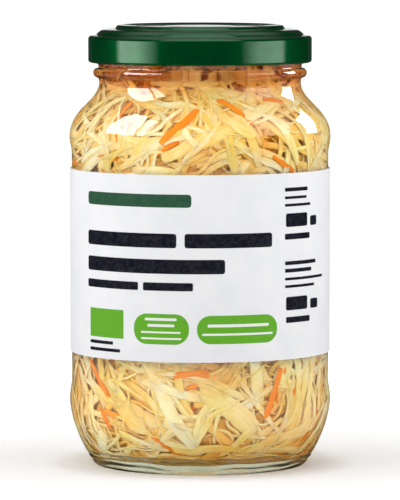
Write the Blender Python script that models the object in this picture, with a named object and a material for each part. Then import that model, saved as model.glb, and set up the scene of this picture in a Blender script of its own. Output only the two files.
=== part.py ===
"""A jar of sauerkraut: a twist-off glass jar, its steel lid, its paper label and the shreds packed in it.

Metres, +Z up. The jar stands on z = 0 with its axis on Z, and its front faces -Y.
"""

import math
from typing import NamedTuple

import bmesh
import bpy
import numpy as np

# Driving dimensions of the jar
SEGMENTS = 48
RIDGE_R = 0.0495
PANEL_R = 0.0487
NECK_R = 0.0382
BEAD_R = 0.0405
FINISH_R = 0.0385
MOUTH_R = 0.0352
RING_OUTER_R = 0.0395
WALL = 0.0028
LOW_RIDGE_Z = 0.0255
PANEL_LOW_Z = 0.0330
PANEL_HIGH_Z = 0.1182
HIGH_RIDGE_Z = 0.1245
NECK_Z = 0.1450
BEAD_Z = 0.1486
BEAD_HALF_HEIGHT = 0.0020
RIM_Z = 0.1634
PUSH_UP = ((0.0365, 0.0), (0.0347, 0.0011), (0.01825, 0.0023), (0.0, 0.0026))
FLOOR_Z = 0.0060
FLOOR_RISE = 0.0012
FLOOR_R = 0.0330
INNER_R = PANEL_R - WALL
INNER_NECK_R = 0.0353
INNER_LOW_Z = 0.0240
INNER_HIGH_Z = 0.1225
INNER_NECK_Z = 0.1440

# How far each curve of the jar's outline pulls along the tangent at its two ends
HEEL_PULLS = (0.0120, 0.0010)
SHOULDER_PULLS = (0.0070, 0.0106)
INNER_HEEL_PULLS = (0.0060, 0.0100)
INNER_SHOULDER_PULLS = (0.0080, 0.0100)

# Thread ribs round the mouth
RIBS = 6
RIB_R = 0.0397
RIB_ROOT_R = 0.0379
RIB_LOW_Z = 0.1522
RIB_RISE = 0.0060
RIB_SPAN = math.radians(52.5)
RIB_HALF_HEIGHT = 0.0009
RIB_CREST_SHARE = 0.6
RIB_END_SHARE = 0.12
RIB_LEAST_DEPTH = 0.45
RIB_LEAST_HEIGHT = 0.55
RIB_STEPS = 4

# Driving dimensions of the lid
LID_R = 0.04235
LID_SHEET = 0.0005
LID_LOW_Z = 0.1524
LID_CORNER_Z = 0.1627
LID_CORNER_R = 0.0014
LID_SHOULDER = (0.0396, 0.1628)
LID_LEDGE = ((0.0323, 0.1652), (0.0372, 0.1649), (0.0387, 0.1637))
LID_CREST = ((0.0268, 0.1660), (0.0304, 0.1666), (0.0314, 0.1664))
LID_PANEL_Z = 0.1660
CURL_R = 0.0011
CURL_END = -200

# Driving dimensions of the label
LABEL_LOW_Z = 0.0432
LABEL_HIGH_Z = 0.1126
LABEL_GAP = 0.0003
LABEL_SHEET = 0.0003
LABEL_OPEN_SEGMENTS = 2

# Driving dimensions of the shreds
SEED = 41
HEAP_LOW_Z = 0.0082
HEAP_HIGH_Z = 0.1560
HEAP_DOME = 0.0014
CORE_SEGMENTS = 20
CORE_ROWS = 12
CORE_DEPTH = 0.0022
ROOT_DEPTH = 0.0030
GLASS_GAP = 0.00048
WALL_REACH = 0.0040
SHRED_STEP = 0.0095
SHRED_LOW_Z = 0.0140
SHRED_HIGH_Z = 0.1520
SHRED_END_LOW_Z = 0.0100
SHRED_END_HIGH_Z = 0.1550
GOLDEN_ANGLE = math.pi * (3 - math.sqrt(5))
LEAN_LIMIT = math.radians(80)
WAVES = (0.0010, 0.0026)
WAVE_TURNS = 1.1
WAVE_LEAN_SHIFT = 3
END_TAPER = 0.62
ROOT_FLARE = 1.12

# Working limits
SHARP_ANGLE = math.radians(35)
AXIS_MERGE = 0.00001
SLIVER = 0.000004
BACK = math.pi / 2


class ShredKind(NamedTuple):
    """One kind of shred, with the least and the greatest of each size, and how far round its row begins."""

    count: int
    lengths: tuple
    half_widths: tuple
    sinks: tuple
    first_turn: float = 0.0


BROAD_SHREDS = ShredKind(15, (0.034, 0.050), (0.0026, 0.0038), (0.0000, 0.0004), 4.8385)
CARROT_SHREDS = ShredKind(12, (0.018, 0.030), (0.0012, 0.0017), (0.0000, 0.0002), 5.55)
MIDDLE_SHREDS = ShredKind(22, (0.028, 0.044), (0.0015, 0.0023), (0.0002, 0.0010), 6.9067)
FINE_SHREDS = ShredKind(14, (0.022, 0.036), (0.0009, 0.0013), (0.0001, 0.0012), 9.0444)
BACK_SHREDS = ShredKind(4, (0.022, 0.034), (0.0015, 0.0026), (0.0002, 0.0006))


def clear_scene():
    for thing in list(bpy.data.objects):
        bpy.data.objects.remove(thing, do_unlink=True)


def material(name, colour, roughness, metallic=0.0, transmission=0.0):
    made = bpy.data.materials.new(name)
    made.use_nodes = True
    shader = made.node_tree.nodes["Principled BSDF"]
    shader.inputs["Base Color"].default_value = (*colour, 1.0)
    shader.inputs["Roughness"].default_value = roughness
    shader.inputs["Metallic"].default_value = metallic
    shader.inputs["Transmission Weight"].default_value = transmission
    made.diffuse_color = (*colour, 1.0)
    return made


def mesh_object(name, points, faces=(), edges=()):
    mesh = bpy.data.meshes.new(name)
    mesh.from_pydata([tuple(map(float, point)) for point in points], edges, faces)
    made = bpy.data.objects.new(name, mesh)
    bpy.context.scene.collection.objects.link(made)
    return made


def shade(shape):
    """Shades a mesh smooth but for its sharp edges."""
    shape.shade_smooth()
    shape.set_sharp_from_angle(angle=SHARP_ANGLE)


def settle(thing):
    """Replaces the object's mesh and modifiers with the shape that they make."""
    bpy.context.view_layer.update()
    graph = bpy.context.evaluated_depsgraph_get()
    shape = bpy.data.meshes.new_from_object(thing.evaluated_get(graph))
    thing.modifiers.clear()
    thing.data = shape
    shade(shape)
    return thing


def bezier(start, start_pull, end_pull, end, steps):
    """Points of a cubic curve in (radius, height), from the one after its start to its end."""
    t = (np.arange(steps) + 1)[:, None] / steps
    ends = np.array([start, start_pull, end_pull, end])
    weights = np.hstack([(1 - t) ** 3, 3 * t * (1 - t) ** 2, 3 * t**2 * (1 - t), t**3])
    return [tuple(point) for point in weights @ ends]


def arc(centre, radii, first, last, steps):
    """Points of an elliptic arc in (radius, height), between two angles in degrees and with both ends."""
    turn = np.radians(np.linspace(first, last, steps + 1))
    return [(centre[0] + radii[0] * math.cos(a), centre[1] + radii[1] * math.sin(a)) for a in turn]


def ease(start, end, steps):
    """Points between two places in (radius, height), whose radius leaves and arrives without a bend."""
    t = np.arange(1, steps) / steps
    blend = (1 - np.cos(math.pi * t)) / 2
    return [
        (start[0] + (end[0] - start[0]) * b, start[1] + (end[1] - start[1]) * a) for a, b in zip(t, blend)
    ]


def turned(name, profile, segments):
    """A body turned about Z from a profile in (radius, height) that runs down the outer side."""
    edges = [(i, i + 1) for i in range(len(profile) - 1)]
    made = mesh_object(name, [(radius, 0, height) for radius, height in profile], edges=edges)
    screw = made.modifiers.new("Turn", "SCREW")
    screw.axis = "Z"
    screw.steps = segments
    screw.render_steps = segments
    screw.use_merge_vertices = True
    screw.merge_threshold = AXIS_MERGE
    screw.use_smooth_shade = True
    return made


def swept(name, rings):
    """A closed body through rings of four corners each, with a cap on the first and on the last ring."""
    count = len(rings)
    faces = [
        (4 * i + side, 4 * i + (side + 1) % 4, 4 * (i + 1) + (side + 1) % 4, 4 * (i + 1) + side)
        for i in range(count - 1)
        for side in range(4)
    ]
    faces.append((3, 2, 1, 0))
    faces.append(tuple(4 * (count - 1) + side for side in range(4)))
    return mesh_object(name, np.reshape(rings, (-1, 3)), faces)


def fuse(base, pieces, solver="EXACT"):
    """Joins the pieces to the base as one solid, and removes them."""
    group = bpy.data.collections.new(base.name + " pieces")
    bpy.context.scene.collection.children.link(group)
    for piece in pieces:
        bpy.context.scene.collection.objects.unlink(piece)
        group.objects.link(piece)
    join = base.modifiers.new("Join", "BOOLEAN")
    join.operation = "UNION"
    join.operand_type = "COLLECTION"
    join.collection = group
    join.solver = solver
    settle(base)
    for piece in pieces:
        bpy.data.objects.remove(piece, do_unlink=True)
    bpy.data.collections.remove(group)
    return base


def shells_of(shape):
    """The faces of each shell, those that are joined across their edges."""
    unseen = set(shape.faces)
    shells = []
    while unseen:
        front = [unseen.pop()]
        shell = set(front)
        while front:
            near = {face for edge in front.pop().edges for face in edge.link_faces} & unseen
            front.extend(near)
            shell |= near
            unseen -= near
        shells.append(shell)
    return shells


def drop_folds(shape):
    """Deletes the pairs of faces that share all their corners, which lie back to back and bound nothing."""
    first_with = {}
    folded = []
    for face in shape.faces:
        corners = frozenset(face.verts)
        if corners in first_with:
            folded += [face, first_with.pop(corners)]
        else:
            first_with[corners] = face
    bmesh.ops.delete(shape, geom=folded, context="FACES_ONLY")
    loose = [edge for edge in shape.edges if not edge.link_faces]
    bmesh.ops.delete(shape, geom=loose, context="EDGES")


def clean(thing):
    """Merges the slivers that joining leaves, and keeps the largest shell, which fills sealed hollows."""
    shape = bmesh.new()
    shape.from_mesh(thing.data)
    bmesh.ops.remove_doubles(shape, verts=shape.verts, dist=SLIVER)
    bmesh.ops.dissolve_degenerate(shape, edges=shape.edges, dist=SLIVER)
    bmesh.ops.triangulate(shape, faces=shape.faces)
    drop_folds(shape)
    shells = shells_of(shape)
    largest = max(shells, key=len)
    scraps = [face for shell in shells if shell is not largest for face in shell]
    bmesh.ops.delete(shape, geom=scraps, context="FACES")
    shape.to_mesh(thing.data)
    shape.free()
    shade(thing.data)


def polar(radius, angle, height):
    return (radius * math.cos(angle), radius * math.sin(angle), height)


def inner_profile():
    """The jar's inner wall in (radius, height), from the middle of its floor up to its mouth."""
    heel_top = (INNER_R, INNER_LOW_Z)
    shoulder_low = (INNER_R, INNER_HIGH_Z)
    neck = (INNER_NECK_R, INNER_NECK_Z)
    floor_edge = (FLOOR_R, FLOOR_Z)
    heel = bezier(
        floor_edge,
        (FLOOR_R + INNER_HEEL_PULLS[0], FLOOR_Z),
        (INNER_R, INNER_LOW_Z - INNER_HEEL_PULLS[1]),
        heel_top,
        4,
    )
    shoulder = bezier(
        shoulder_low,
        (INNER_R, INNER_HIGH_Z + INNER_SHOULDER_PULLS[1]),
        (INNER_NECK_R, INNER_NECK_Z - INNER_SHOULDER_PULLS[0]),
        neck,
        5,
    )
    return [(0.0, FLOOR_Z + FLOOR_RISE), floor_edge, *heel, shoulder_low, *shoulder]


def outer_profile():
    """The jar's outer side in (radius, height), from under its rim down to the middle of its base."""
    high_ridge = (RIDGE_R, HIGH_RIDGE_Z)
    low_ridge = (RIDGE_R, LOW_RIDGE_Z)
    panel_high = (PANEL_R, PANEL_HIGH_Z)
    panel_low = (PANEL_R, PANEL_LOW_Z)
    ring = (RING_OUTER_R, 0.0)
    bead = arc((FINISH_R, BEAD_Z), (BEAD_R - FINISH_R, BEAD_HALF_HEIGHT), 90, -90, 4)
    shoulder = bezier(
        (NECK_R, NECK_Z),
        (NECK_R, NECK_Z - SHOULDER_PULLS[0]),
        (RIDGE_R, HIGH_RIDGE_Z + SHOULDER_PULLS[1]),
        high_ridge,
        6,
    )
    heel = bezier(
        low_ridge,
        (RIDGE_R, LOW_RIDGE_Z - HEEL_PULLS[0]),
        (RING_OUTER_R + HEEL_PULLS[1], 0.0),
        ring,
        6,
    )
    return [
        *bead,
        (NECK_R, NECK_Z),
        *shoulder,
        *ease(high_ridge, panel_high, 3),
        panel_high,
        panel_low,
        *ease(panel_low, low_ridge, 3),
        low_ridge,
        *heel,
        *PUSH_UP,
    ]


def thread_rib(index):
    """One of the ribs that the lid turns on, rising round the mouth and thinner at its ends."""
    rings = []
    for share in np.linspace(0, 1, RIB_STEPS + 1):
        angle = 2 * math.pi * index / RIBS + RIB_SPAN * share
        height = RIB_LOW_Z + RIB_RISE * share
        fullness = math.sin(math.pi * (RIB_END_SHARE + (1 - 2 * RIB_END_SHARE) * share))
        radius = RIB_ROOT_R + (RIB_R - RIB_ROOT_R) * (RIB_LEAST_DEPTH + (1 - RIB_LEAST_DEPTH) * fullness)
        half = RIB_HALF_HEIGHT * (RIB_LEAST_HEIGHT + (1 - RIB_LEAST_HEIGHT) * fullness)
        crest = half * RIB_CREST_SHARE
        corners = ((RIB_ROOT_R, -half), (radius, -crest), (radius, crest), (RIB_ROOT_R, half))
        rings.append([polar(r, angle, height + z) for r, z in corners[::-1]])
    return swept(f"rib {index}", rings)


def make_jar():
    lip_r = (FINISH_R - MOUTH_R) / 2
    lip = arc((MOUTH_R + lip_r, RIM_Z - lip_r), (lip_r, lip_r), 180, 0, 4)
    jar = turned("glass_jar", [*inner_profile(), *lip, *outer_profile()], SEGMENTS)
    settle(jar)
    fuse(jar, [thread_rib(index) for index in range(RIBS)])
    jar.data.materials.clear()
    jar.data.materials.append(material("clear glass", (0.93, 0.95, 0.90), 0.02, transmission=1.0))


def make_lid():
    """The stepped steel lid: a sunk panel, a crest, a ledge, a shoulder, a skirt and a rolled edge."""
    corner_centre = (LID_R - LID_CORNER_R, LID_CORNER_Z - LID_CORNER_R)
    corner = arc(corner_centre, (LID_CORNER_R, LID_CORNER_R), 90, 0, 2)
    curl = arc((LID_R - CURL_R, LID_LOW_Z + CURL_R), (CURL_R, CURL_R), 0, CURL_END, 4)
    lid = turned("lid", [(0.0, LID_PANEL_Z), *LID_CREST, *LID_LEDGE, LID_SHOULDER, *corner, *curl], SEGMENTS)
    sheet = lid.modifiers.new("Sheet", "SOLIDIFY")
    sheet.thickness = LID_SHEET
    sheet.offset = -1
    settle(lid)
    lid.data.materials.append(material("green lacquered steel", (0.004, 0.062, 0.018), 0.22, metallic=0.1))


def make_label():
    """The label round the panel, open at the back, its flats in line with the jar's."""
    inner = PANEL_R + LABEL_GAP
    outer = inner + LABEL_SHEET
    step = 2 * math.pi / SEGMENTS
    start = BACK + LABEL_OPEN_SEGMENTS / 2 * step
    corners = ((inner, LABEL_LOW_Z), (inner, LABEL_HIGH_Z), (outer, LABEL_HIGH_Z), (outer, LABEL_LOW_Z))
    rings = [
        [polar(radius, start + i * step, height) for radius, height in corners]
        for i in range(SEGMENTS - LABEL_OPEN_SEGMENTS + 1)
    ]
    label = settle(swept("label", rings))
    label.data.materials.append(material("white label paper", (0.91, 0.92, 0.93), 0.45))


def clear_radius(height, profile):
    """The least inner radius of the glass within a shred's reach of a height."""
    radii, heights = np.array(profile[1:]).T
    near = height + np.linspace(-WALL_REACH, WALL_REACH, 5)
    return float(np.interp(near, heights, radii).min())


def shred(name, angle, height, lean, length, half_width, sink, wave, profile):
    """A strip that runs along the glass at a lean, waving a little, and roots in the core below."""
    reach = length / 2 * abs(math.sin(lean)) + (half_width + wave) * math.cos(lean)
    height = min(max(height, SHRED_END_LOW_Z + reach), SHRED_END_HIGH_Z - reach)
    bend_radius = clear_radius(height, profile)
    rings = []
    for place in np.linspace(-0.5, 0.5, round(length / SHRED_STEP) + 1):
        along = place * length
        sway = wave * math.sin(2 * math.pi * WAVE_TURNS * place + WAVE_LEAN_SHIFT * lean)
        half = half_width * (1 - END_TAPER * (2 * abs(place)) ** 3)
        corners = []
        for side, deep in ((1, False), (-1, False), (-1, True), (1, True)):
            across = sway + side * half * (ROOT_FLARE if deep else 1.0)
            corner_height = height + along * math.sin(lean) + across * math.cos(lean)
            wall = clear_radius(corner_height, profile)
            turn = (along * math.cos(lean) - across * math.sin(lean)) / bend_radius
            depth = ROOT_DEPTH if deep else GLASS_GAP + sink
            corners.append(polar(wall - depth, angle + turn, corner_height))
        rings.append(corners)
    return swept(name, rings)


def visible_height(share):
    """A height in the bands of glass that the label leaves clear, the lower band first."""
    low_band = LABEL_LOW_Z - SHRED_LOW_Z
    high_band = SHRED_HIGH_Z - LABEL_HIGH_Z
    climb = share * (low_band + high_band)
    return SHRED_LOW_Z + climb if climb < low_band else LABEL_HIGH_Z + climb - low_band


def label_height(share):
    """A height behind the label, where only its open back shows the shreds."""
    return LABEL_LOW_Z + share * (LABEL_HIGH_Z - LABEL_LOW_Z)


def shred_places():
    """Every shred's kind, angle and height: golden turns in the clear bands, and a row up the open back."""
    for kind in (BROAD_SHREDS, CARROT_SHREDS, MIDDLE_SHREDS, FINE_SHREDS):
        for index in range(kind.count):
            angle = (kind.first_turn + index) * GOLDEN_ANGLE
            yield kind, angle, visible_height((index + 0.5) / kind.count)
    for index in range(BACK_SHREDS.count):
        yield BACK_SHREDS, BACK, label_height((index + 0.5) / BACK_SHREDS.count)


def make_shreds():
    """The packed heap: a smaller core inside the glass with the shreds that show fused on it."""
    draws = np.random.default_rng(SEED)
    profile = inner_profile()
    heights = np.linspace(HEAP_HIGH_Z, HEAP_LOW_Z, CORE_ROWS)
    sides = [(clear_radius(z, profile) - CORE_DEPTH, z) for z in heights]
    core = turned("sauerkraut", [(0.0, HEAP_HIGH_Z + HEAP_DOME), *sides, (0.0, HEAP_LOW_Z)], CORE_SEGMENTS)
    settle(core)
    pieces = []
    for index, (kind, angle, height) in enumerate(shred_places()):
        piece = shred(
            f"shred {index}",
            angle,
            height,
            lean=draws.uniform(-LEAN_LIMIT, LEAN_LIMIT),
            length=draws.uniform(*kind.lengths),
            half_width=draws.uniform(*kind.half_widths),
            sink=draws.uniform(*kind.sinks),
            wave=draws.uniform(*WAVES),
            profile=profile,
        )
        pieces.append(piece)
    fuse(core, pieces, solver="MANIFOLD")
    clean(core)
    core.data.materials.clear()
    core.data.materials.append(material("pale pickled cabbage", (0.86, 0.70, 0.38), 0.5))


def main():
    clear_scene()
    make_jar()
    make_lid()
    make_label()
    make_shreds()


main()
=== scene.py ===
"""A sealed glass jar of sauerkraut with carrot, a green twist-off lid and a white paper label.

Metres, +Z up. The jar stands on z = 0 with its axis on Z, and its front faces -Y.
"""

import logging
import math
from collections.abc import Callable
from dataclasses import dataclass, fields
from enum import Enum

import bpy
import numpy as np
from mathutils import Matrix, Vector


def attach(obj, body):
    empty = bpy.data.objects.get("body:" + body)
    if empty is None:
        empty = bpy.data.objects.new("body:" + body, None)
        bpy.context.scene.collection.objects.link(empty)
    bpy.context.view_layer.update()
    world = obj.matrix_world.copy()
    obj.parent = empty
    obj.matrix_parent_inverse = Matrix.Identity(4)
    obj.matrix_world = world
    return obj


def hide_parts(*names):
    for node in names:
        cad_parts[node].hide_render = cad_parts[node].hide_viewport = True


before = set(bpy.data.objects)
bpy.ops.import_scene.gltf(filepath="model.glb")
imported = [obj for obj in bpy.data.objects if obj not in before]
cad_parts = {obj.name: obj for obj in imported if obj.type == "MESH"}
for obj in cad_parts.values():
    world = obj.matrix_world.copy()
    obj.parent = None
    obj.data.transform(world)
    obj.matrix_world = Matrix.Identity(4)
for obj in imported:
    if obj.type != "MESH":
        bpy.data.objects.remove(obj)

log = logging.getLogger("sauerkraut_jar")

BODY = "root"
FRONT = -math.pi / 2
BACK = math.pi / 2
MM = 0.001
TINY = 1e-12
SLOPE_STEP = 0.0005
STRAND_GAP = 7.31
SHARP_ANGLE = math.radians(35)
WHITE = (1.0, 1.0, 1.0)
BLACK = (0.0, 0.0, 0.0)

Colour = tuple[float, float, float]
Span = tuple[float, float]
Socket = bpy.types.NodeSocket
Node = bpy.types.Node
Value = Socket | float | tuple
Piece = bpy.types.Object
Relief = Callable[[np.ndarray, np.ndarray, np.ndarray], tuple[np.ndarray, np.ndarray]]


class Slot(Enum):
    """The record's material slots."""

    GLASS = "jar_glass"
    LID = "lid_lacquer"
    PAPER = "label_paper"
    CABBAGE = "cabbage"
    CARROT = "carrot"
    BRINE = "brine"
    DARK = "ink_dark"
    GREEN = "ink_green"
    DEEP_GREEN = "ink_deep_green"
    WHITE = "ink_white"


def paint(red: int, green: int, blue: int) -> Colour:
    """Turns a display colour of 0 to 255 into linear light.

    Args:
        red: Red part.
        green: Green part.
        blue: Blue part.

    Returns:
        The three parts in linear light, from 0 to 1.
    """
    parts = np.array([red, green, blue]) / 255
    light = np.where(parts <= 0.04045, parts / 12.92, ((parts + 0.055) / 1.055) ** 2.4)
    return tuple(float(part) for part in light)


def mm(*sizes: float) -> tuple[float, ...]:
    """Millimetres as metres."""
    return tuple(size * MM for size in sizes)


def column(numbers: np.ndarray) -> np.ndarray:
    """Numbers as one column."""
    return np.asarray(numbers)[:, None]


# Curves in (radius, height)


def bezier(start: Span, start_pull: Span, end_pull: Span, end: Span, steps: int) -> np.ndarray:
    """A cubic curve: each point is the four ends weighted by the cubic Bernstein terms.

    Args:
        start: First point, left out of the result.
        start_pull: Where the curve heads from its start.
        end_pull: Where it comes from at its end.
        end: Last point.
        steps: Number of points given back.

    Returns:
        Points after the start and up to the end.
    """
    t = (np.arange(steps) + 1)[:, None] / steps
    weights = np.hstack([(1 - t) ** 3, 3 * t * (1 - t) ** 2, 3 * t**2 * (1 - t), t**3])
    return weights @ np.array([start, start_pull, end_pull, end])


def arc(centre: Span, radii: Span, first: float, last: float, steps: int) -> np.ndarray:
    """An elliptic arc: the centre plus the radii times the cosine and sine of an even turn.

    Args:
        centre: Middle of the ellipse.
        radii: Its half width and half height.
        first: First angle in degrees.
        last: Last angle in degrees.
        steps: Number of steps between them.

    Returns:
        Points with both ends.
    """
    turn = np.radians(np.linspace(first, last, steps + 1))
    return np.array(centre) + np.array(radii) * np.stack([np.cos(turn), np.sin(turn)], axis=1)


def ease(start: Span, end: Span, steps: int) -> np.ndarray:
    """A soft step: the height runs evenly while the radius follows half a cosine wave.

    Args:
        start: First point, left out of the result.
        end: Last point.
        steps: Number of points given back.

    Returns:
        Points after the start and up to the end.
    """
    t = np.linspace(0, 1, steps + 1)[1:]
    blend = (1 - np.cos(np.pi * t)) / 2
    return np.stack([start[0] + (end[0] - start[0]) * blend, start[1] + (end[1] - start[1]) * t], axis=1)


def smooth_through(points: np.ndarray, steps: int) -> np.ndarray:
    """A curve through every point: cubic pieces whose slope is half the way between a point's neighbours.

    Args:
        points: Points to pass.
        steps: Steps from each point to the next.

    Returns:
        Points with both ends.
    """
    points = np.asarray(points, float)
    slopes = np.gradient(points, axis=0)
    t = np.linspace(0, 1, steps, endpoint=False)[None, :, None]
    a, b = points[:-1, None], points[1:, None]
    m, n = slopes[:-1, None], slopes[1:, None]
    values = (2 * t**3 - 3 * t**2 + 1) * a + (t**3 - 2 * t**2 + t) * m
    values = values + (3 * t**2 - 2 * t**3) * b + (t**3 - t**2) * n
    return np.vstack([values.reshape(-1, 2), points[-1:]])


def offset(profile: np.ndarray, distance: float) -> np.ndarray:
    """Moves each point of a profile square to it, to the right of its way along.

    Args:
        profile: Points of the profile.
        distance: How far they move.

    Returns:
        The moved points. A point on the axis stays on it.
    """
    way = np.gradient(profile, axis=0)
    way /= np.linalg.norm(way, axis=1, keepdims=True)
    moved = profile + distance * np.stack([way[:, 1], -way[:, 0]], axis=1)
    moved[profile[:, 0] < TINY, 0] = 0
    return moved


def upright(radius: float, heights: np.ndarray) -> np.ndarray:
    """A straight wall: one radius at each height."""
    return np.stack([np.full(len(heights), radius), heights], 1)


@dataclass
class Shape:
    """Points and faces held as arrays, with any numbers that each point carries."""

    points: np.ndarray
    quads: np.ndarray
    triangles: np.ndarray | None = None
    values: dict[str, np.ndarray] | None = None

    def piece(self, name: str, finish: bpy.types.Material, slot: Slot) -> Piece:
        """Puts the arrays into a mesh object that rides on the jar's body.

        Args:
            name: Name of the piece.
            finish: Its material.
            slot: Material slot of the record that it belongs to. Not used.

        Returns:
            The linked object.
        """
        mesh = bpy.data.meshes.new(name)
        triangles = np.empty((0, 3), int) if self.triangles is None else self.triangles
        corners = np.concatenate([self.quads.ravel(), triangles.ravel()]).astype(np.int32)
        sizes = np.repeat([4, 3], [len(self.quads), len(triangles)])
        mesh.vertices.add(len(self.points))
        mesh.vertices.foreach_set("co", self.points.astype(np.float32).ravel())
        mesh.loops.add(len(corners))
        mesh.loops.foreach_set("vertex_index", corners)
        mesh.polygons.add(len(sizes))
        mesh.polygons.foreach_set("loop_start", (np.cumsum(sizes) - sizes).astype(np.int32))
        mesh.update(calc_edges=True)
        mesh.validate()
        mesh.shade_smooth()
        mesh.set_sharp_from_angle(angle=SHARP_ANGLE)
        for key, numbers in (self.values or {}).items():
            kind, entry = ("FLOAT", "value") if numbers.ndim == 1 else ("FLOAT_VECTOR", "vector")
            layer = mesh.attributes.new(key, kind, "POINT")
            layer.data.foreach_set(entry, numbers.astype(np.float32).ravel())
        mesh.materials.append(finish)
        made = bpy.data.objects.new(name, mesh)
        bpy.context.scene.collection.objects.link(made)
        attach(made, BODY)
        log.info("%s: %d points, %d faces", name, len(self.points), len(sizes))
        return made


def turned(profile: np.ndarray, segments: int, relief: Relief | None = None) -> Shape:
    """Turns a profile about Z: row i and column j give (r cos a, r sin a, z), a = 2 pi j / segments.

    Args:
        profile: Points down the outer side. Both ends lie on the axis.
        segments: Columns round the axis.
        relief: Gives what is added to radius and height, from angle, radius and height.

    Returns:
        A closed shape with a pole at each end.
    """
    angle = 2 * np.pi * np.arange(segments) / segments
    rows = profile[1:-1]
    radius = np.repeat(rows[:, :1], segments, axis=1)
    height = np.repeat(rows[:, 1:], segments, axis=1)
    if relief is not None:
        more_radius, more_height = relief(angle[None, :], radius, height)
        radius = radius + more_radius
        height = height + more_height
    grid = np.stack([radius * np.cos(angle), radius * np.sin(angle), height], axis=2).reshape(-1, 3)
    poles = np.array([[0, 0, profile[0, 1]], [0, 0, profile[-1, 1]]])
    index = np.arange(len(rows) * segments).reshape(len(rows), segments)
    beside = np.roll(index, -1, axis=1)
    quads = np.stack([index[:-1], index[1:], beside[1:], beside[:-1]], axis=2).reshape(-1, 4)
    first, last = (np.full(segments, len(grid) + pole) for pole in (0, 1))
    top = np.stack([first, index[0], beside[0]], axis=1)
    bottom = np.stack([index[-1], last, beside[-1]], axis=1)
    return Shape(np.vstack([grid, poles]), quads, np.vstack([top, bottom]))


def tubes(rings: np.ndarray) -> Shape:
    """Closed bodies through rings of corners: ring s and corner k of body b join their four neighbours.

    Args:
        rings: Corners as (bodies, rings, corners, 3), clockwise along the way of the rings, an even number.

    Returns:
        One shape with a cap of quads on each end of each body.
    """
    bodies, count, corners = rings.shape[:3]
    index = np.arange(bodies * count * corners).reshape(bodies, count, corners)
    beside = np.roll(index, -1, axis=2)
    sides = np.stack([index[:, :-1], beside[:, :-1], beside[:, 1:], index[:, 1:]], axis=3).reshape(-1, 4)
    k = np.arange(corners // 2 - 1)
    ladder = np.stack([k, k + 1, corners - 2 - k, corners - 1 - k], axis=1)
    start = index[:, 0][:, ladder[:, ::-1]].reshape(-1, 4)
    end = index[:, -1][:, ladder].reshape(-1, 4)
    return Shape(rings.reshape(-1, 3), np.vstack([sides, start, end]))


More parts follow.
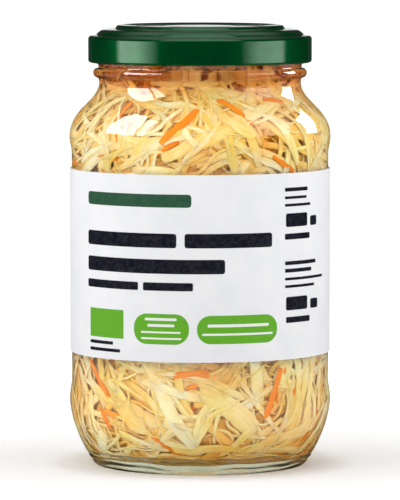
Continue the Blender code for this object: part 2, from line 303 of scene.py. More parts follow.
class Tree:
    """The node tree of a material or a world, with short ways to add nodes and to join them."""

    def __init__(self, holder: bpy.types.Material | bpy.types.World, output: str = "OutputMaterial") -> None:
        """Empties the tree and gives it its output.

        Args:
            holder: The material or world.
            output: Type of its output node.
        """
        holder.use_nodes = True
        self.holder = holder
        self.nodes, self.links = holder.node_tree.nodes, holder.node_tree.links
        self.nodes.clear()
        self.output = self.add(output)

    @classmethod
    def named(cls, name: str) -> "Tree":
        """Starts the tree of a new material."""
        return cls(bpy.data.materials.new(name))

    def add(self, kind: str, inputs: dict | None = None, **settings) -> Node:
        """Adds a node.

        Args:
            kind: Node type without its ShaderNode prefix.
            inputs: Values or source sockets by input name or number.
            **settings: Properties of the node itself.

        Returns:
            The new node.
        """
        node = self.nodes.new("ShaderNode" + kind)
        for key, value in settings.items():
            setattr(node, key, value)
        for key, value in (inputs or {}).items():
            if isinstance(value, Socket):
                self.links.new(value, node.inputs[key])
            else:
                node.inputs[key].default_value = value
        return node

    def principled(self, colour: Value, **inputs) -> Node:
        """Adds a Principled shader.

        Args:
            colour: A linear colour or a socket.
            **inputs: Values by socket name, with _ for each space.

        Returns:
            The shader node.
        """
        named = {key.replace("_", " "): value for key, value in inputs.items()}
        named["Base Color"] = (*colour, 1.0) if isinstance(colour, tuple) else colour
        return self.add("BsdfPrincipled", named)

    def noise(self, scale: float, detail: float, place: Socket | None = None, roughness: float = 0.5) -> Socket:
        """Adds a noise texture.

        Args:
            scale: Repeats per unit of its coordinates.
            detail: Octaves.
            place: Coordinates, or None for the object's own.
            roughness: Strength of the finer octaves.

        Returns:
            The socket of its value, from 0 to 1.
        """
        place = place or self.add("TexCoord").outputs["Object"]
        inputs = {"Vector": place, "Scale": scale, "Detail": detail, "Roughness": roughness}
        return self.add("TexNoise", inputs).outputs[0]

    def ramp(self, fac: Socket, stops: tuple[tuple[float, Colour], ...]) -> Socket:
        """Adds a colour ramp.

        Args:
            fac: What drives it.
            stops: Places from 0 to 1 with their colours.

        Returns:
            The colour socket.
        """
        node = self.add("ValToRGB", {"Fac": fac})
        marks = node.color_ramp.elements
        while len(marks) < len(stops):
            marks.new(0.5)
        for mark, (place, colour) in zip(marks, stops):
            mark.position = place
            mark.color = (*colour, 1.0)
        return node.outputs["Color"]

    def spread(self, value: Socket, source: Span, result: Span, **settings) -> Socket:
        """Maps a value from one range to another, held at its ends.

        Args:
            value: What is mapped.
            source: Its low and high values.
            result: What they become.
            **settings: Properties of the node itself.

        Returns:
            The mapped socket.
        """
        names = ("From Min", "From Max", "To Min", "To Max")
        inputs = {"Value": value, **dict(zip(names, (*source, *result)))}
        return self.add("MapRange", inputs, **settings).outputs["Result"]

    def blend(self, fac: Value, first: Value, second: Value, mode: str = "MIX") -> Socket:
        """Mixes two colours.

        Args:
            fac: Share of the second.
            first: Colour or socket.
            second: Colour or socket.
            mode: Blend type.

        Returns:
            The mixed colour socket.
        """
        first, second = ((*part, 1.0) if isinstance(part, tuple) else part for part in (first, second))
        return self.add("Mix", {0: fac, 6: first, 7: second}, data_type="RGBA", blend_type=mode).outputs[2]

    def choose(self, fac: Socket, first: Value, second: Value) -> Socket:
        """Mixes two numbers by a factor."""
        return self.add("Mix", {0: fac, 2: first, 3: second}).outputs[0]

    def math(self, operation: str, first: Value, second: Value, clamp: bool = False) -> Socket:
        """The result of a Math node with two values."""
        return self.add("Math", {0: first, 1: second}, operation=operation, use_clamp=clamp).outputs[0]

    def bump(self, height: Socket, distance: float, strength: float = 1.0) -> Socket:
        """The normal of a relief whose full step is the distance in metres."""
        return self.add("Bump", {"Height": height, "Distance": distance, "Strength": strength}).outputs["Normal"]

    def mixed(self, fac: Socket, first: Node, second: Node) -> Node:
        """Mixes two shaders."""
        return self.add("MixShader", {0: fac, 1: first.outputs[0], 2: second.outputs[0]})

    def finish(self, shader: Node, volume: Node | None = None) -> bpy.types.Material | bpy.types.World:
        """Joins a shader, and a volume if there is one, to the output.

        Args:
            shader: Surface shader.
            volume: Volume shader or None.

        Returns:
            The finished material or world.
        """
        self.links.new(shader.outputs[0], self.output.inputs["Surface"])
        if volume is not None:
            self.links.new(volume.outputs[0], self.output.inputs["Volume"])
        return self.holder


# Finishes. Each one's make() builds its material.


@dataclass(frozen=True)
class Clear:
    """A clear body that takes a little of some colours on the way through, with slow waves if they have a depth.

    Rays towards a lamp pass it unbent, so lamps shine through.
    """

    name: str
    ior: float
    tint: Colour
    tint_density: float
    mirrors: Colour = WHITE
    wave_depth: float = 0.0
    wave_scale: float = 55.0

    def make(self) -> bpy.types.Material:
        """Builds the material: glass, a shader that lamps pass, and an absorbing volume.

        Returns:
            The material.
        """
        tree = Tree.named(self.name)
        more = {"Normal": tree.bump(tree.noise(self.wave_scale, 2.0), self.wave_depth)} if self.wave_depth else {}
        more |= {"Transmission_Weight": 1.0, "Specular_Tint": (*self.mirrors, 1.0)}
        glass = tree.principled(WHITE, Roughness=0.0, IOR=self.ior, **more)
        towards_lamp = tree.add("LightPath").outputs["Is Shadow Ray"]
        volume = tree.add("VolumeAbsorption", {"Color": (*self.tint, 1.0), "Density": self.tint_density})
        return tree.finish(tree.mixed(towards_lamp, glass, tree.add("BsdfTransparent")), volume)


CLEAR_GLASS = Clear("clear_glass", 1.5, (0.66, 0.70, 0.42), 13.0, wave_depth=0.00022)
PALE_BRINE = Clear("pale_brine", 1.33, (1.0, 0.70, 0.0), 58.0, mirrors=BLACK)


@dataclass(frozen=True)
class Lacquer:
    """Dark green lacquer on tinplate: a glossy coat over a colour that glows green where light grazes it."""

    colour: Colour = (0.0006, 0.088, 0.021)
    deep_share: float = 0.82
    cloud_scale: float = 160.0
    roughness: Span = (0.27, 0.34)
    peel_scale: float = 1400.0
    peel_depth: float = 0.000003

    def make(self) -> bpy.types.Material:
        """Builds the material.

        Returns:
            The material.
        """
        tree = Tree.named("green_lacquer")
        cloud = tree.noise(self.cloud_scale, 4.0)
        deep = tuple(part * self.deep_share for part in self.colour)
        shader = tree.principled(
            tree.blend(tree.spread(cloud, (0.35, 0.65), (0.0, 1.0)), self.colour, deep),
            Roughness=tree.spread(cloud, (0.3, 0.7), self.roughness),
            Metallic=0.55,
            Specular_IOR_Level=0.0,
            Coat_Weight=0.85,
            Coat_Roughness=0.06,
            Coat_IOR=1.5,
            Normal=tree.bump(tree.noise(self.peel_scale, 2.0), self.peel_depth),
        )
        return tree.finish(shader)


@dataclass(frozen=True)
class LabelPaper:
    """White coated label paper with a faint fibre and a satin shine."""

    colour: Colour = paint(250, 250, 252)
    shade: Colour = paint(244, 245, 248)
    cloud_scale: float = 90.0
    fibre_scale: float = 1500.0
    fibre_depth: float = 0.000015
    roughness: Span = (0.42, 0.54)

    def make(self) -> bpy.types.Material:
        """Builds the material.

        Returns:
            The material.
        """
        tree = Tree.named("label_paper")
        fibre = tree.noise(self.fibre_scale, 5.0, roughness=0.65)
        cloud = tree.noise(self.cloud_scale, 3.0)
        shader = tree.principled(
            tree.blend(tree.spread(cloud, (0.35, 0.65), (0.0, 1.0)), self.colour, self.shade),
            Roughness=tree.spread(fibre, (0.3, 0.7), self.roughness),
            Specular_IOR_Level=0.3,
            Normal=tree.bump(fibre, self.fibre_depth),
        )
        return tree.finish(shader)


@dataclass(frozen=True)
class Ink:
    """Printing ink with a slight unevenness of its layer."""

    name: str
    colour: Colour
    lift: float = 0.025
    cloud_scale: float = 700.0
    cloud_depth: float = 0.000008
    roughness: Span = (0.36, 0.46)

    def make(self) -> bpy.types.Material:
        """Builds the material.

        Returns:
            The material.
        """
        tree = Tree.named(self.name)
        cloud = tree.noise(self.cloud_scale, 4.0)
        pale = tuple(part + (1 - part) * self.lift for part in self.colour)
        shader = tree.principled(
            tree.blend(tree.spread(cloud, (0.4, 0.75), (0.0, 1.0)), self.colour, pale),
            Roughness=tree.spread(cloud, (0.3, 0.7), self.roughness),
            Specular_IOR_Level=0.25,
            Normal=tree.bump(cloud, self.cloud_depth),
        )
        return tree.finish(shader)


@dataclass(frozen=True)
class Flesh:
    """Wet pickled vegetable: fibres along each shred, a tone of its own, a painted amber shade that deepens further
    from the glass, and a painted shade under the lid.
    """

    name: str
    tones: tuple[tuple[float, Colour], ...]
    # deep and deep_share: colour and strength of the painted depth shade
    deep: Colour
    deep_share: float
    glow: float
    glow_reach: tuple[float, float, float]
    glow_scale: float = 0.0012
    tinges: tuple[Colour, ...] = ()
    tinge_scales: Span = (38.0, 52.0)
    fibre_share: float = 0.55
    fibre_depth: float = 0.00009
    roughness: float = 0.38
    ior: float = 1.38
    # Painted shade under the lid, multiplied in where a point's painted shade value passes 1
    under_lid: Colour = paint(206, 156, 96)

    def make(self) -> bpy.types.Material:
        """Builds the material from the strand, tone and painted shade values of each point.

        Returns:
            The material.
        """
        tree = Tree.named(self.name)
        keys = ("strand", "tone", "sunk")
        strand, tone, sunk = (tree.add("Attribute", attribute_name=key).outputs for key in keys)
        along, broad = (
            tree.add("Mapping", {"Vector": strand["Vector"], "Scale": scale}).outputs["Vector"]
            for scale in ((2.4, 0.16, 1.0), (0.35, 0.22, 1.0))
        )
        fibres = tree.noise(1.0, 3.0, along, 0.6)
        shift = tree.spread(tree.noise(1.0, 2.0, broad), (0.3, 0.7), (-0.16, 0.16))
        streak = tree.spread(fibres, (0.35, 0.7), (0.0, self.fibre_share))
        colour = tree.ramp(tree.math("ADD", tree.math("ADD", tone["Fac"], shift), streak, clamp=True), self.tones)
        for scale, tinge in zip(self.tinge_scales, self.tinges):
            region = tree.spread(tree.noise(scale, 1.5), (0.48, 0.66), (0.0, 1.0))
            colour = tree.blend(region, colour, tinge, "MULTIPLY")
        # Painted depth shade: the deep colour multiplied in further from the glass, for the amber of the brine and
        # the shade between strips
        depth = tree.spread(sunk["Fac"], (0.0, 1.0), (0.0, self.deep_share))
        colour = tree.blend(depth, colour, self.deep, "MULTIPLY")
        # Painted shade under the lid
        shade = tree.spread(sunk["Fac"], (1.0, 2.0), (0.0, 1.0))
        shader = tree.principled(
            tree.blend(shade, colour, self.under_lid, "MULTIPLY"),
            Roughness=self.roughness,
            IOR=self.ior,
            Subsurface_Weight=self.glow,
            Subsurface_Radius=self.glow_reach,
            Subsurface_Scale=self.glow_scale,
            Normal=tree.bump(fibres, self.fibre_depth, 0.8),
        )
        return tree.finish(shader)


@dataclass(frozen=True)
class FloorPaint:
    """Plain white studio floor that glows, a little beside the jar and more far from it.

    Seen through the jar's base, it has a painted contact shadow: a dark ring.
    """

    colour: Colour = (0.93, 0.93, 0.93)
    near_glow: float = 0.35
    near_span: Span = (0.040, 0.060)
    far_glow: float = 0.47
    far_span: Span = (0.060, 0.35)
    # Where the painted contact shadow starts and ends, and how dark it is
    ring_start: Span = (0.030, 0.036)
    ring_end: Span = (0.043, 0.056)
    ring_shade: float = 0.92

    def make(self, under_jar: float) -> bpy.types.Material:
        """Builds the material.

        Args:
            under_jar: What the floor gives besides to the contents, whose rays reach it through the glass.

        Returns:
            The material.
        """
        tree = Tree.named("white_floor")
        place = tree.add("TexCoord").outputs["Object"]
        away = tree.add("VectorMath", {0: place}, operation="LENGTH").outputs["Value"]
        # The glow fades to nothing towards the jar's foot and is none under it: painted shade round and under the
        # jar
        near = tree.spread(away, self.near_span, (0.0, self.near_glow))
        far = tree.spread(away, self.far_span, (0.0, self.far_glow))
        path = tree.add("LightPath").outputs
        through = path["Is Transmission Ray"]
        scattered = tree.spread(path["Diffuse Depth"], (0.4, 0.6), (0.0, under_jar))
        inside = tree.math("MULTIPLY", scattered, through)
        dim = tuple(part * 0.99 for part in self.colour)
        colour = tree.blend(tree.noise(0.6, 2.0), self.colour, dim)
        # Painted contact shadow: a dark ring under the jar's foot, seen only by rays that come through the glass
        # before any bounce
        within = tree.spread(away, self.ring_start, (0.0, self.ring_shade))
        ring = tree.math("MULTIPLY", within, tree.spread(away, self.ring_end, (1.0, 0.0)))
        seen = tree.math("MULTIPLY", tree.spread(path["Diffuse Depth"], (0.4, 0.6), (1.0, 0.0)), through)
        shader = tree.principled(
            tree.blend(tree.math("MULTIPLY", ring, seen), colour, BLACK),
            Roughness=0.9,
            Specular_IOR_Level=0.0,
            Emission_Color=(*WHITE, 1.0),
            Emission_Strength=tree.math("ADD", tree.math("ADD", near, far), inside),
        )
        return tree.finish(shader)


@dataclass
class Jar:
    """The jar: pushed-up base, low ridge, label panel, high ridge, shoulder, neck, bead and threaded mouth."""

    ridge_r: float = 0.0495
    panel_r: float = 0.0487
    neck_r: float = 0.0382
    bead_r: float = 0.0405
    finish_r: float = 0.0385
    mouth_r: float = 0.0352
    ring_r: float = 0.0395
    wall: float = 0.0028
    low_ridge_z: float = 0.0255
    panel_low_z: float = 0.0330
    panel_high_z: float = 0.1182
    high_ridge_z: float = 0.1245
    neck_z: float = 0.1450
    bead_z: float = 0.1486
    bead_half_height: float = 0.0020
    rim_z: float = 0.1634
    push_up: tuple[Span, ...] = (
        (0.0365, 0.0),
        (0.0347, 0.0011),
        (0.0270, 0.0019),
        (0.01825, 0.0023),
        (0.0090, 0.0025),
        (0.0, 0.0026),
    )
    floor_z: float = 0.0060
    floor_rise: float = 0.0012
    floor_r: float = 0.0330
    floor_points: int = 16
    inner_neck_r: float = 0.0353
    inner_low_z: float = 0.0240
    inner_high_z: float = 0.1225
    inner_neck_z: float = 0.1440
    heel_pulls: Span = (0.0120, 0.0010)
    shoulder_pulls: Span = (0.0070, 0.0106)
    inner_heel_pulls: Span = (0.0060, 0.0100)
    inner_shoulder_pulls: Span = (0.0080, 0.0100)
    ribs: int = 6
    rib_rise: float = 0.0060
    rib_low_z: float = 0.1522
    rib_span: float = math.radians(52.5)
    rib_out: float = 0.0012
    rib_half_height: float = 0.0010
    knurls: int = 96
    knurl_depth: float = 0.00014
    knurl_inset: float = 0.0012
    knurl_half_width: float = 0.0014
    knurl_high_z: float = 0.0010
    fold_depth: float = 0.00013
    fold_pace: float = 2600.0
    fold_high_z: float = 0.0075
    fold_ends: Span = (0.001, 0.003)
    segments: int = 384

    @property
    def inner_r(self) -> float:
        """Inner radius of the label panel."""
        return self.panel_r - self.wall

    def inner_profile(self) -> np.ndarray:
        """The inner wall, from the middle of the floor up to the neck.

        Returns:
            A soft rise of the floor, the heel's curve, the wall and the shoulder's curve.
        """
        reach = np.linspace(0, 1, self.floor_points)
        rise = self.floor_rise * (1 + np.cos(np.pi * reach)) / 2
        floor = np.stack([self.floor_r * reach, self.floor_z + rise], 1)
        pulls, tops = self.inner_heel_pulls, self.inner_shoulder_pulls
        heel = bezier(
            (self.floor_r, self.floor_z),
            (self.floor_r + pulls[0], self.floor_z),
            (self.inner_r, self.inner_low_z - pulls[1]),
            (self.inner_r, self.inner_low_z),
            20,
        )
        wall = upright(self.inner_r, np.linspace(self.inner_low_z, self.inner_high_z, 7)[1:])
        shoulder = bezier(
            (self.inner_r, self.inner_high_z),
            (self.inner_r, self.inner_high_z + tops[1]),
            (self.inner_neck_r, self.inner_neck_z - tops[0]),
            (self.inner_neck_r, self.inner_neck_z),
            22,
        )
        return np.vstack([floor, heel, wall, shoulder])

    def outer_profile(self) -> np.ndarray:
        """The outer side, from under the rim down to the middle of the base.

        Returns:
            Finish, bead, neck, shoulder, ridges, panel, heel, ring and push-up.
        """
        finish = upright(self.finish_r, np.linspace(self.rim_z - 0.0018, self.bead_z + 0.0021, 18))
        bead_size = (self.bead_r - self.finish_r, self.bead_half_height)
        bead = arc((self.finish_r, self.bead_z), bead_size, 88, -90, 14)
        shoulder = bezier(
            (self.neck_r, self.neck_z),
            (self.neck_r, self.neck_z - self.shoulder_pulls[0]),
            (self.ridge_r, self.high_ridge_z + self.shoulder_pulls[1]),
            (self.ridge_r, self.high_ridge_z),
            28,
        )
        high_step = ease((self.ridge_r, self.high_ridge_z), (self.panel_r, self.panel_high_z), 8)
        panel = upright(self.panel_r, np.linspace(self.panel_high_z, self.panel_low_z, 6)[1:])
        low_step = ease((self.panel_r, self.panel_low_z), (self.ridge_r, self.low_ridge_z), 8)
        heel = bezier(
            (self.ridge_r, self.low_ridge_z),
            (self.ridge_r, self.low_ridge_z - self.heel_pulls[0]),
            (self.ring_r + self.heel_pulls[1], 0.0),
            (self.ring_r, 0.0),
            60,
        )
        ring = np.stack([np.linspace(self.ring_r, self.push_up[0][0], 6)[1:-1], np.zeros(4)], 1)
        push_up = smooth_through(self.push_up, 5)
        neck = [(self.neck_r, self.neck_z)]
        return np.vstack([finish, bead, neck, shoulder, high_step, panel, low_step, heel, ring, push_up])

    def inner_radius(self, height: np.ndarray) -> np.ndarray:
        """Inner radius of the wall at each height, read from the inner profile."""
        radii, heights = self.inner_profile()[self.floor_points - 1 :].T
        return np.interp(height, heights, radii)

    def floor_height(self, radius: np.ndarray) -> np.ndarray:
        """Height of the inner floor at each radius, read from the inner profile's first points."""
        radii, heights = self.inner_profile()[: self.floor_points + 4].T
        return np.interp(radius, radii, heights)

    def relief(self, angle: np.ndarray, radius: np.ndarray, height: np.ndarray) -> tuple[np.ndarray, np.ndarray]:
        """What the thread ribs, the knurled ring and the heel's folds add to the turned surface.

        A rib adds a bell of height (z - its own centre line) times a half sine along its span. A knurl lifts the
        ring under the base by half a cosine wave round the axis. The low folds of the heel are sine waves of the
        height, whose start wanders round the axis as a sum of three sine waves.

        Args:
            angle: Angle of each column.
            radius: Radius of each point.
            height: Height of each point.

        Returns:
            What is added to the radius and to the height.
        """
        share = np.mod(angle, 2 * np.pi / self.ribs) / self.rib_span
        centre = self.rib_low_z + self.rib_rise * share
        full = np.sqrt(np.clip(np.sin(np.pi * np.clip(share, 0, 1)), 0, 1))
        outside = (radius > self.neck_r) & (height > self.bead_z + self.bead_half_height)
        out = self.rib_out * full * np.exp(-(((height - centre) / self.rib_half_height) ** 4)) * outside
        aside = (radius - self.ring_r + self.knurl_inset) / self.knurl_half_width
        on_ring = np.exp(-(aside**4)) * (height < self.knurl_high_z)
        lift = self.knurl_depth * (1 - np.cos(self.knurls * angle)) / 2 * on_ring
        on_heel = (radius > self.ring_r) * np.clip(height / self.fold_ends[0], 0, 1)
        on_heel = on_heel * np.clip((self.fold_high_z - height) / self.fold_ends[1], 0, 1)
        start = 1.1 * np.sin(3 * angle) + 0.7 * np.sin(7 * angle + 1) + 0.4 * np.sin(16 * angle)
        out = out + self.fold_depth * np.sin(self.fold_pace * height + start) * on_heel
        return out, lift

    def build(self) -> Piece:
        """Makes the glass piece.

        Returns:
            The piece, which stands for the node of the jar.
        """
        lip_r = (self.finish_r - self.mouth_r) / 2
        lip = arc((self.mouth_r + lip_r, self.rim_z - lip_r), (lip_r, lip_r), 180, 0, 14)
        profile = np.vstack([self.inner_profile(), lip, self.outer_profile()])
        piece = turned(profile, self.segments, self.relief).piece("jar_body", CLEAR_GLASS.make(), Slot.GLASS)
        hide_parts("glass_jar")
        return piece


@dataclass
class Lid:
    """The pressed steel lid: sunk panel with its button, crest, ledge, shoulder, skirt and rolled edge."""

    outer_r: float = 0.04235
    sheet: float = 0.0005
    low_z: float = 0.1524
    corner_z: float = 0.1627
    corner_r: float = 0.0014
    crest: tuple[Span, ...] = (
        (0.0268, 0.1660),
        (0.0288, 0.1663),
        (0.0304, 0.1666),
        (0.0314, 0.1664),
        (0.0323, 0.1653),
    )
    ledge: tuple[Span, ...] = (
        (0.0342, 0.16512),
        (0.0360, 0.1650),
        (0.0374, 0.1647),
        (0.0387, 0.1637),
        (0.0394, 0.1629),
    )
    panel_r: float = 0.0255
    panel_z: float = 0.1660
    button_r: float = 0.0140
    button_edge: float = 0.0015
    button_rise: float = 0.0002
    curl_r: float = 0.0011
    curl_end: float = -200
    segments: int = 288

    def outer_profile(self) -> np.ndarray:
        """The outer face, from the middle of the panel to the end of the rolled edge.

        Returns:
            Points of the face. The button is a smooth step of the panel, 3 s^2 - 2 s^3.
        """
        parts = ((0, 0.0105, 6), (0.0112, 0.0165, 12), (0.018, 0.0245, 5))
        radii = np.concatenate([np.linspace(*part) for part in parts])
        step = np.clip((self.button_r + self.button_edge - radii) / (2 * self.button_edge), 0, 1)
        panel = np.stack([radii, self.panel_z + self.button_rise * step**2 * (3 - 2 * step)], 1)
        shoulder = (self.outer_r - self.corner_r - 0.0003, self.corner_z)
        crest = smooth_through([(self.panel_r, self.panel_z), *self.crest, *self.ledge, shoulder], 4)
        corner_low_z = self.corner_z - self.corner_r
        corner = arc((self.outer_r - self.corner_r, corner_low_z), (self.corner_r, self.corner_r), 90, 0, 12)
        skirt = upright(self.outer_r, np.linspace(corner_low_z, self.low_z + self.curl_r, 8)[1:-1])
        middle = (self.outer_r - self.curl_r, self.low_z + self.curl_r)
        curl = arc(middle, (self.curl_r, self.curl_r), 0, self.curl_end, 18)
        return np.vstack([panel, crest, corner, skirt, curl])

    def build(self) -> Piece:
        """Makes the lid as one closed sheet.

        Returns:
            The piece, which stands for the node of the lid.
        """
        outer = self.outer_profile()
        profile = np.vstack([outer, offset(outer, self.sheet)[::-1]])
        piece = turned(profile, self.segments).piece("lid_shell", Lacquer().make(), Slot.LID)
        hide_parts("lid")
        return piece


@dataclass(frozen=True)
class Print:
    """What is printed in one ink. A field is its left and right along the paper, low, high and corner, in mm."""

    name: str
    ink: Ink
    slot: Slot
    lift: float
    fields: tuple[tuple[float, ...], ...]


@dataclass
class Label:
    """The paper label round the panel, open at the back, with plain printed fields and bars."""

    inner_r: float = 0.0490
    sheet: float = 0.0003
    low_z: float = 0.0432
    high_z: float = 0.1126
    opening: float = math.radians(15)
    columns: int = 276
    print_columns: int = 29
    print_root: float = 0.0001
    print_least: float = 0.00002
    prints: tuple[Print, ...] = (
        Print(
            "print_dark",
            Ink("dark_ink", paint(20, 20, 36)),
            Slot.DARK,
            0.00005,
            (
                (-49.6, -8.8, 85.6, 90.9, 0.9),
                (-5.7, 28.2, 85.6, 90.9, 0.9),
                (-49.6, 9.3, 76.0, 81.3, 0.9),
                (-49.7, -23.9, 69.7, 72.7, 0.5),
                (-21.8, -2.6, 69.7, 72.7, 0.5),
                (-48.2, -35.3, 48.7, 49.9, 0.3),
                (-48.3, -31.9, 46.0, 47.2, 0.3),
                (34.2, 46.8, 105.8, 107.2, 0.3),
                (34.2, 46.2, 103.0, 104.0, 0.25),
                (34.2, 48.6, 100.2, 101.2, 0.25),
                (34.7, 46.6, 92.6, 97.6, 0.8),
                (48.6, 53.2, 92.6, 96.2, 0.8),
                (34.2, 48.2, 87.9, 90.1, 0.5),
                (34.3, 52.6, 78.4, 79.8, 0.3),
                (34.3, 49.4, 75.6, 77.0, 0.3),
                (34.3, 58.6, 72.7, 73.7, 0.25),
                (34.3, 51.6, 69.9, 70.9, 0.25),
                (34.8, 46.7, 61.5, 66.5, 0.8),
                (48.8, 54.2, 61.5, 65.1, 0.8),
                (34.8, 48.3, 56.8, 59.0, 0.5),
            ),
        ),
        Print(
            "print_deep_green",
            Ink("deep_green_ink", paint(42, 90, 62)),
            Slot.DEEP_GREEN,
            0.00005,
            ((-49.5, -3.2, 100.6, 105.4, 1.2),),
        ),
        Print(
            "print_green",
            Ink("bright_green_ink", paint(104, 182, 34)),
            Slot.GREEN,
            0.00005,
            ((-48.2, -30.3, 51.2, 61.9, 0.15), (-25.6, -4.1, 49.8, 61.1, 5.2), (-1.1, 30.5, 50.1, 60.6, 5.0)),
        ),
        Print(
            "print_white",
            Ink("white_ink", paint(246, 250, 242)),
            Slot.WHITE,
            0.00009,
            (
                (-21.0, -8.7, 58.6, 59.6, 0.3),
                (-20.0, -9.5, 56.3, 57.3, 0.3),
                (-22.6, -7.2, 53.9, 54.6, 0.25),
                (-22.6, -6.9, 51.6, 52.3, 0.25),
                (2.8, 26.7, 56.3, 57.4, 0.3),
                (0.8, 28.5, 53.2, 54.0, 0.25),
            ),
        ),
    )

    def paper(self) -> Piece:
        """Makes the paper: a rectangle in (radius, height) carried round the axis.

        Returns:
            The piece, which stands for the node of the label.
        """
        outer = self.inner_r + self.sheet
        half = self.opening / 2
        angle = column(np.linspace(BACK + half, BACK + 2 * np.pi - half, self.columns + 1))
        radius = np.array([self.inner_r, self.inner_r, outer, outer])
        height = np.array([self.low_z, self.high_z, self.high_z, self.low_z]) + 0 * angle
        rings = np.stack([radius * np.cos(angle), radius * np.sin(angle), height], axis=2)
        piece = tubes(rings[None]).piece("label_sheet", LabelPaper().make(), Slot.PAPER)
        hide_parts("label")
        return piece

    def printed(self, ink: Print) -> Piece:
        """Lays all fields of one ink on the paper as thin closed plates.

        A plate's column at x from its middle is as high as a rectangle with round corners there: its half height,
        less the corner radius, plus the height of the corner's circle.

        Args:
            ink: The ink and its fields.

        Returns:
            One piece for the whole ink.
        """
        rows = np.array(ink.fields) * MM
        left, right, low, high, corner = (rows[:, [i]] for i in range(5))
        half_width, half_height = (right - left) / 2, (high - low) / 2
        corner = np.minimum(corner, np.minimum(half_width, half_height))
        x = -half_width * np.cos(np.pi * np.arange(self.print_columns) / (self.print_columns - 1))
        past = np.clip(np.abs(x) - (half_width - corner), 0, corner)
        reach = np.maximum(half_height - corner + np.sqrt(corner**2 - past**2), self.print_least)
        outer = self.inner_r + self.sheet
        angle = (FRONT + ((left + right) / 2 + x) / outer)[..., None]
        root, face = outer - self.print_root, outer + ink.lift
        radius = np.array([root, root, face, face])
        height = ((low + high) / 2)[..., None] + reach[..., None] * np.array([-1, 1, 1, -1])
        rings = np.stack([radius * np.cos(angle), radius * np.sin(angle), height], axis=3)
        return tubes(rings).piece(ink.name, ink.ink.make(), ink.slot)

    def build(self) -> list[Piece]:
        """Makes the paper and then its print."""
        return [self.paper(), *(self.printed(ink) for ink in self.prints)]


@dataclass
class Shreds:
    """Many strips at once, one entry of each array a strip: sizes in metres, angles in radians."""

    angle: np.ndarray
    height: np.ndarray
    lean: np.ndarray
    length: np.ndarray
    width: np.ndarray
    thickness: np.ndarray
    depth: np.ndarray
    tuck: np.ndarray
    bend: np.ndarray
    wave: np.ndarray
    roll: np.ndarray
    tone: np.ndarray

    def joined(self, other: "Shreds") -> "Shreds":
        """These strips followed by the other ones."""
        pairs = ((getattr(self, part.name), getattr(other, part.name)) for part in fields(self))
        return Shreds(*(np.concatenate(pair) for pair in pairs))


@dataclass(frozen=True)
class ShredKind:
    """What one kind of strip is like: the least and greatest of each size, and how finely it is made."""

    name: str
    count: int
    length: Span
    width: Span
    thickness: Span
    bend: float
    wave: float
    roll: float
    corners: int = 6
    rings: int = 9
    crinkle: float = 0.10
    cup: float = 0.0
    pinch: float = 0.4


KINDS = (
    ShredKind("cabbage_fine", 900, mm(14, 36), mm(0.8, 1.6), mm(0.4, 0.8), 1.5, 0.45, 0.8),
    ShredKind("cabbage_middle", 1000, mm(18, 44), mm(1.6, 3.0), mm(0.4, 0.8), 1.1, 0.3, 0.35),
    ShredKind("cabbage_broad", 240, mm(18, 40), mm(3.2, 5.6), mm(0.5, 0.9), 0.8, 0.2, 0.2, 10, 12, 0.06, 0.08),
    ShredKind("carrot_strips", 70, mm(9, 24), mm(1.2, 2.4), mm(0.8, 1.3), 0.7, 0.15, 0.5, pinch=0.12),
    ShredKind("cabbage_threads", 650, mm(8, 24), mm(0.6, 1.3), mm(0.4, 0.7), 1.8, 0.6, 1.0),
)

